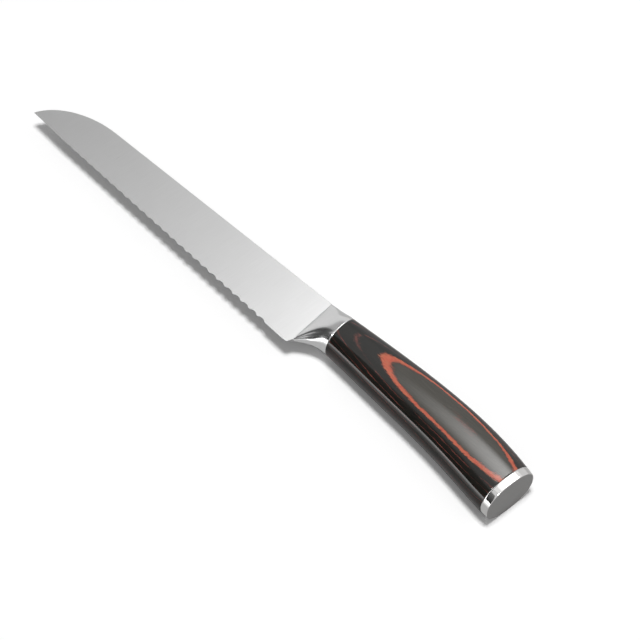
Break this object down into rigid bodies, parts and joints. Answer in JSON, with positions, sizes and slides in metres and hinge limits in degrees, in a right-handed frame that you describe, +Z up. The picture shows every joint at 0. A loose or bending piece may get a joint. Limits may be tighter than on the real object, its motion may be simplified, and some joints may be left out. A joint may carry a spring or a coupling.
{
  "type": "bread knife",
  "caption": "Serrated bread knife with a steel bolster, oval laminated wood handle and flat steel end cap, lying on its side.",
  "frame": {"origin": "bottom centre of the whole knife as it lies on its side", "axes": "+X from the tip to the butt, +Y from the cutting edge to the spine, +Z up out of the blade's left face"},
  "size_m": [0.338, 0.0374, 0.0175],
  "materials": {
    "blade_steel": "satin",
    "bolster_steel": "polished",
    "cap_steel": "polished band, satin end face",
    "laminated_wood": "gloss lacquer over dyed veneers",
    "tang_steel": "mill",
    "cured_adhesive": "cured epoxy"
  },
  "bodies": {
    "root": {"blade": "blade_steel", "bolster": "bolster_steel", "tang_bar": "tang_steel", "tang_rivets": "tang_steel", "handle_block": "laminated_wood", "adhesive_fill": "cured_adhesive", "end_cap": "cap_steel", "cap_stud": "tang_steel"}
  },
  "joints": []
}
